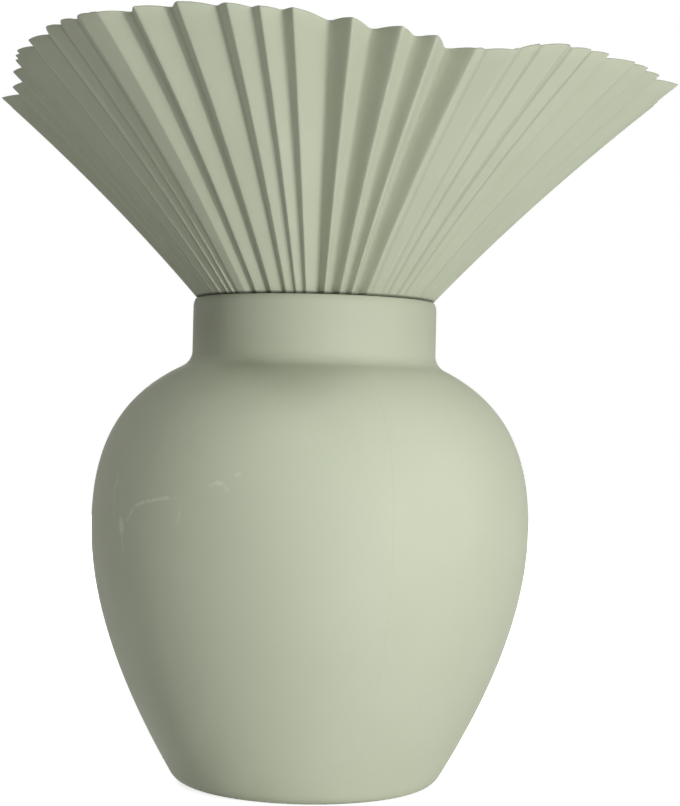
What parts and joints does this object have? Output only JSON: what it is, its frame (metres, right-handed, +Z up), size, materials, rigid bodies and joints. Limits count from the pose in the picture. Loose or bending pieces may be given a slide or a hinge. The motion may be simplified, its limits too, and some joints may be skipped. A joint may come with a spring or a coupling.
{
  "type": "vase",
  "caption": "Baluster vase of painted sheet metal with a straight neck collar and a lift-out, fan-pleated top that flares to an uneven rim, for flower stems.",
  "frame": {"origin": "on the vase's axis, on the surface that the foot stands on", "axes": "+Z up along the axis, front of the vase towards -Y"},
  "size_m": [0.2335, 0.243, 0.2492],
  "materials": {
    "body_paint": "matte sage-green paint on sheet steel",
    "pleat_paint": "matte sage-green paint on thin folded sheet steel"
  },
  "bodies": {
    "vase": {"body_shell_left": "body_paint", "body_shell_right": "body_paint", "base_disc": "body_paint", "neck_collar": "body_paint"},
    "pleated_insert": {"pleated_top": "pleat_paint", "pleat_ring": "pleat_paint"}
  },
  "joints": [
    {"name": "pleated_insert_lift", "type": "slide", "parent": "vase", "child": "pleated_insert", "axis": [0, 0, 1], "range_m": [0, 0.04]}
  ]
}
